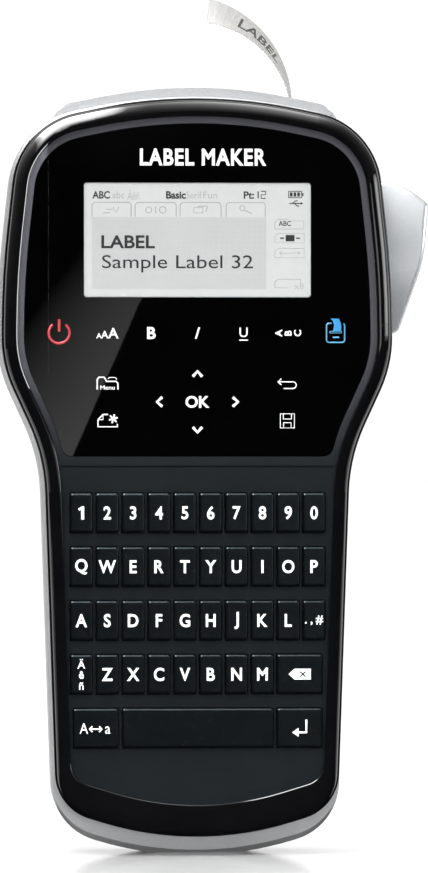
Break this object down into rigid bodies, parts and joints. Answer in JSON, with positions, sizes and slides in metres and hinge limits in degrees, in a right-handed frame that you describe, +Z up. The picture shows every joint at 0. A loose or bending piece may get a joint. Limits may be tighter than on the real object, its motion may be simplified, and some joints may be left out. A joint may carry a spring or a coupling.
{
  "type": "handheld label maker",
  "caption": "Handheld electronic label maker with a keyboard, display, side cutter lever and rear cassette door, standing upright with a printed label curling out.",
  "frame": {"origin": "centre of the flat foot under the lower end of the rear housing", "axes": "+Z up along the body, +Y towards the back, +X to the right as seen from the front"},
  "size_m": [0.1171, 0.0512, 0.2332],
  "materials": {
    "gloss_black_plastic": "polished piano black",
    "satin_charcoal_plastic": "satin charcoal",
    "black_acrylic": "polished black acrylic",
    "display_glass": "pale grey liquid crystal behind clear glass",
    "grey_silicone": "soft matte",
    "circuit_board": "green solder mask",
    "silver_plastic": "silver paint, semi gloss",
    "satin_silver_plastic": "satin silver paint",
    "battery_shell": "smooth black shrink wrap",
    "steel": "bright steel",
    "engine_plastic": "dark grey moulding",
    "roller_rubber": "ground rubber",
    "cassette_plastic": "smooth black moulding",
    "label_tape": "pale grey satin tape",
    "key_plastic": "charcoal, fine grain"
  },
  "bodies": {
    "root": {"battery_pack": "battery_shell", "case_screws": "steel", "control_panel": "black_acrylic", "display_module": "display_glass", "front_bezel": "gloss_black_plastic", "keyboard_deck": "satin_charcoal_plastic", "keypad_mat": "grey_silicone", "lever_spring": "steel", "main_board": "circuit_board", "print_engine": "engine_plastic", "rear_housing": "silver_plastic", "tape_cassette": "cassette_plastic"},
    "cassette_door": {"cassette_door": "silver_plastic"},
    "battery_cover": {"battery_cover": "silver_plastic"},
    "cutter_lever": {"cutter_lever": "satin_silver_plastic"},
    "cutter_blade": {"cutter_blade": "steel"},
    "feed_roller": {"feed_roller": "roller_rubber"},
    "label_strip": {"label_strip": "label_tape"},
    "key_a": {"key_a": "key_plastic"},
    "key_accent": {"key_accent": "key_plastic"},
    "key_b": {"key_b": "key_plastic"},
    "key_backspace": {"key_backspace": "key_plastic"},
    "key_c": {"key_c": "key_plastic"},
    "key_capitals": {"key_capitals": "key_plastic"},
    "key_d": {"key_d": "key_plastic"},
    "key_digit_0": {"key_digit_0": "key_plastic"},
    "key_digit_1": {"key_digit_1": "key_plastic"},
    "key_digit_2": {"key_digit_2": "key_plastic"},
    "key_digit_3": {"key_digit_3": "key_plastic"},
    "key_digit_4": {"key_digit_4": "key_plastic"},
    "key_digit_5": {"key_digit_5": "key_plastic"},
    "key_digit_6": {"key_digit_6": "key_plastic"},
    "key_digit_7": {"key_digit_7": "key_plastic"},
    "key_digit_8": {"key_digit_8": "key_plastic"},
    "key_digit_9": {"key_digit_9": "key_plastic"},
    "key_e": {"key_e": "key_plastic"},
    "key_enter": {"key_enter": "key_plastic"},
    "key_f": {"key_f": "key_plastic"},
    "key_g": {"key_g": "key_plastic"},
    "key_h": {"key_h": "key_plastic"},
    "key_i": {"key_i": "key_plastic"},
    "key_j": {"key_j": "key_plastic"},
    "key_k": {"key_k": "key_plastic"},
    "key_l": {"key_l": "key_plastic"},
    "key_m": {"key_m": "key_plastic"},
    "key_n": {"key_n": "key_plastic"},
    "key_o": {"key_o": "key_plastic"},
    "key_p": {"key_p": "key_plastic"},
    "key_punctuation": {"key_punctuation": "key_plastic"},
    "key_q": {"key_q": "key_plastic"},
    "key_r": {"key_r": "key_plastic"},
    "key_s": {"key_s": "key_plastic"},
    "key_space": {"key_space": "key_plastic"},
    "key_t": {"key_t": "key_plastic"},
    "key_u": {"key_u": "key_plastic"},
    "key_v": {"key_v": "key_plastic"},
    "key_w": {"key_w": "key_plastic"},
    "key_x": {"key_x": "key_plastic"},
    "key_y": {"key_y": "key_plastic"},
    "key_z": {"key_z": "key_plastic"}
  },
  "joints": [
    {"name": "cutter_lever_press", "type": "hinge", "parent": "root", "child": "cutter_lever", "pos_m": [0.0475, 0.0015, 0.144], "axis": [0, -1, 0], "range_deg": [0, 11.46], "stiffness_Nm_per_rad": 0.3, "springref_deg": -2.86},
    {"name": "cutter_blade_slide", "type": "slide", "parent": "root", "child": "cutter_blade", "axis": [-1, 0, 0], "range_m": [0, 0.0046]},
    {"name": "cassette_door_swing", "type": "hinge", "parent": "root", "child": "cassette_door", "pos_m": [0, 0.0272, 0.124], "axis": [-1, 0, 0], "range_deg": [0, 88]},
    {"name": "battery_cover_swing", "type": "hinge", "parent": "root", "child": "battery_cover", "pos_m": [0, 0.0082, 0.031], "axis": [-1, 0, 0], "range_deg": [0, 80]},
    {"name": "feed_roller_turn", "type": "hinge", "parent": "root", "child": "feed_roller", "pos_m": [0.023, 0.0132, 0.1875], "axis": [0, -1, 0], "range_deg": [0, 171.89]},
    {"name": "feed_label_slide", "type": "slide", "parent": "root", "child": "label_strip", "axis": [0, 0, 1], "range_m": [0, 0.012]},
    {"name": "key_a_press", "type": "slide", "parent": "root", "child": "key_a", "axis": [0, 1, 0], "range_m": [0, 0.0008], "stiffness_N_per_m": 400, "springref_m": -0.0005},
    {"name": "key_accent_press", "type": "slide", "parent": "root", "child": "key_accent", "axis": [0, 1, 0], "range_m": [0, 0.0008], "stiffness_N_per_m": 400, "springref_m": -0.0005},
    {"name": "key_b_press", "type": "slide", "parent": "root", "child": "key_b", "axis": [0, 1, 0], "range_m": [0, 0.0008], "stiffness_N_per_m": 400, "springref_m": -0.0005},
    {"name": "key_backspace_press", "type": "slide", "parent": "root", "child": "key_backspace", "axis": [0, 1, 0], "range_m": [0, 0.0008], "stiffness_N_per_m": 400, "springref_m": -0.0005},
    {"name": "key_c_press", "type": "slide", "parent": "root", "child": "key_c", "axis": [0, 1, 0], "range_m": [0, 0.0008], "stiffness_N_per_m": 400, "springref_m": -0.0005},
    {"name": "key_capitals_press", "type": "slide", "parent": "root", "child": "key_capitals", "axis": [0, 1, 0], "range_m": [0, 0.0008], "stiffness_N_per_m": 400, "springref_m": -0.0005},
    {"name": "key_d_press", "type": "slide", "parent": "root", "child": "key_d", "axis": [0, 1, 0], "range_m": [0, 0.0008], "stiffness_N_per_m": 400, "springref_m": -0.0005},
    {"name": "key_digit_0_press", "type": "slide", "parent": "root", "child": "key_digit_0", "axis": [0, 1, 0], "range_m": [0, 0.0008], "stiffness_N_per_m": 400, "springref_m": -0.0005},
    {"name": "key_digit_1_press", "type": "slide", "parent": "root", "child": "key_digit_1", "axis": [0, 1, 0], "range_m": [0, 0.0008], "stiffness_N_per_m": 400, "springref_m": -0.0005},
    {"name": "key_digit_2_press", "type": "slide", "parent": "root", "child": "key_digit_2", "axis": [0, 1, 0], "range_m": [0, 0.0008], "stiffness_N_per_m": 400, "springref_m": -0.0005},
    {"name": "key_digit_3_press", "type": "slide", "parent": "root", "child": "key_digit_3", "axis": [0, 1, 0], "range_m": [0, 0.0008], "stiffness_N_per_m": 400, "springref_m": -0.0005},
    {"name": "key_digit_4_press", "type": "slide", "parent": "root", "child": "key_digit_4", "axis": [0, 1, 0], "range_m": [0, 0.0008], "stiffness_N_per_m": 400, "springref_m": -0.0005},
    {"name": "key_digit_5_press", "type": "slide", "parent": "root", "child": "key_digit_5", "axis": [0, 1, 0], "range_m": [0, 0.0008], "stiffness_N_per_m": 400, "springref_m": -0.0005},
    {"name": "key_digit_6_press", "type": "slide", "parent": "root", "child": "key_digit_6", "axis": [0, 1, 0], "range_m": [0, 0.0008], "stiffness_N_per_m": 400, "springref_m": -0.0005},
    {"name": "key_digit_7_press", "type": "slide", "parent": "root", "child": "key_digit_7", "axis": [0, 1, 0], "range_m": [0, 0.0008], "stiffness_N_per_m": 400, "springref_m": -0.0005},
    {"name": "key_digit_8_press", "type": "slide", "parent": "root", "child": "key_digit_8", "axis": [0, 1, 0], "range_m": [0, 0.0008], "stiffness_N_per_m": 400, "springref_m": -0.0005},
    {"name": "key_digit_9_press", "type": "slide", "parent": "root", "child": "key_digit_9", "axis": [0, 1, 0], "range_m": [0, 0.0008], "stiffness_N_per_m": 400, "springref_m": -0.0005},
    {"name": "key_e_press", "type": "slide", "parent": "root", "child": "key_e", "axis": [0, 1, 0], "range_m": [0, 0.0008], "stiffness_N_per_m": 400, "springref_m": -0.0005},
    {"name": "key_enter_press", "type": "slide", "parent": "root", "child": "key_enter", "axis": [0, 1, 0], "range_m": [0, 0.0008], "stiffness_N_per_m": 400, "springref_m": -0.0005},
    {"name": "key_f_press", "type": "slide", "parent": "root", "child": "key_f", "axis": [0, 1, 0], "range_m": [0, 0.0008], "stiffness_N_per_m": 400, "springref_m": -0.0005},
    {"name": "key_g_press", "type": "slide", "parent": "root", "child": "key_g", "axis": [0, 1, 0], "range_m": [0, 0.0008], "stiffness_N_per_m": 400, "springref_m": -0.0005},
    {"name": "key_h_press", "type": "slide", "parent": "root", "child": "key_h", "axis": [0, 1, 0], "range_m": [0, 0.0008], "stiffness_N_per_m": 400, "springref_m": -0.0005},
    {"name": "key_i_press", "type": "slide", "parent": "root", "child": "key_i", "axis": [0, 1, 0], "range_m": [0, 0.0008], "stiffness_N_per_m": 400, "springref_m": -0.0005},
    {"name": "key_j_press", "type": "slide", "parent": "root", "child": "key_j", "axis": [0, 1, 0], "range_m": [0, 0.0008], "stiffness_N_per_m": 400, "springref_m": -0.0005},
    {"name": "key_k_press", "type": "slide", "parent": "root", "child": "key_k", "axis": [0, 1, 0], "range_m": [0, 0.0008], "stiffness_N_per_m": 400, "springref_m": -0.0005},
    {"name": "key_l_press", "type": "slide", "parent": "root", "child": "key_l", "axis": [0, 1, 0], "range_m": [0, 0.0008], "stiffness_N_per_m": 400, "springref_m": -0.0005},
    {"name": "key_m_press", "type": "slide", "parent": "root", "child": "key_m", "axis": [0, 1, 0], "range_m": [0, 0.0008], "stiffness_N_per_m": 400, "springref_m": -0.0005},
    {"name": "key_n_press", "type": "slide", "parent": "root", "child": "key_n", "axis": [0, 1, 0], "range_m": [0, 0.0008], "stiffness_N_per_m": 400, "springref_m": -0.0005},
    {"name": "key_o_press", "type": "slide", "parent": "root", "child": "key_o", "axis": [0, 1, 0], "range_m": [0, 0.0008], "stiffness_N_per_m": 400, "springref_m": -0.0005},
    {"name": "key_p_press", "type": "slide", "parent": "root", "child": "key_p", "axis": [0, 1, 0], "range_m": [0, 0.0008], "stiffness_N_per_m": 400, "springref_m": -0.0005},
    {"name": "key_punctuation_press", "type": "slide", "parent": "root", "child": "key_punctuation", "axis": [0, 1, 0], "range_m": [0, 0.0008], "stiffness_N_per_m": 400, "springref_m": -0.0005},
    {"name": "key_q_press", "type": "slide", "parent": "root", "child": "key_q", "axis": [0, 1, 0], "range_m": [0, 0.0008], "stiffness_N_per_m": 400, "springref_m": -0.0005},
    {"name": "key_r_press", "type": "slide", "parent": "root", "child": "key_r", "axis": [0, 1, 0], "range_m": [0, 0.0008], "stiffness_N_per_m": 400, "springref_m": -0.0005},
    {"name": "key_s_press", "type": "slide", "parent": "root", "child": "key_s", "axis": [0, 1, 0], "range_m": [0, 0.0008], "stiffness_N_per_m": 400, "springref_m": -0.0005},
    {"name": "key_space_press", "type": "slide", "parent": "root", "child": "key_space", "axis": [0, 1, 0], "range_m": [0, 0.0008], "stiffness_N_per_m": 400, "springref_m": -0.0005},
    {"name": "key_t_press", "type": "slide", "parent": "root", "child": "key_t", "axis": [0, 1, 0], "range_m": [0, 0.0008], "stiffness_N_per_m": 400, "springref_m": -0.0005},
    {"name": "key_u_press", "type": "slide", "parent": "root", "child": "key_u", "axis": [0, 1, 0], "range_m": [0, 0.0008], "stiffness_N_per_m": 400, "springref_m": -0.0005},
    {"name": "key_v_press", "type": "slide", "parent": "root", "child": "key_v", "axis": [0, 1, 0], "range_m": [0, 0.0008], "stiffness_N_per_m": 400, "springref_m": -0.0005},
    {"name": "key_w_press", "type": "slide", "parent": "root", "child": "key_w", "axis": [0, 1, 0], "range_m": [0, 0.0008], "stiffness_N_per_m": 400, "springref_m": -0.0005},
    {"name": "key_x_press", "type": "slide", "parent": "root", "child": "key_x", "axis": [0, 1, 0], "range_m": [0, 0.0008], "stiffness_N_per_m": 400, "springref_m": -0.0005},
    {"name": "key_y_press", "type": "slide", "parent": "root", "child": "key_y", "axis": [0, 1, 0], "range_m": [0, 0.0008], "stiffness_N_per_m": 400, "springref_m": -0.0005},
    {"name": "key_z_press", "type": "slide", "parent": "root", "child": "key_z", "axis": [0, 1, 0], "range_m": [0, 0.0008], "stiffness_N_per_m": 400, "springref_m": -0.0005}
  ],
  "couplings": [
    {"joint": "cutter_blade_slide", "follows": "cutter_lever_press", "m_per_rad": 0.023},
    {"joint": "feed_roller_turn", "follows": "feed_label_slide", "rad_per_m": 250}
  ]
}
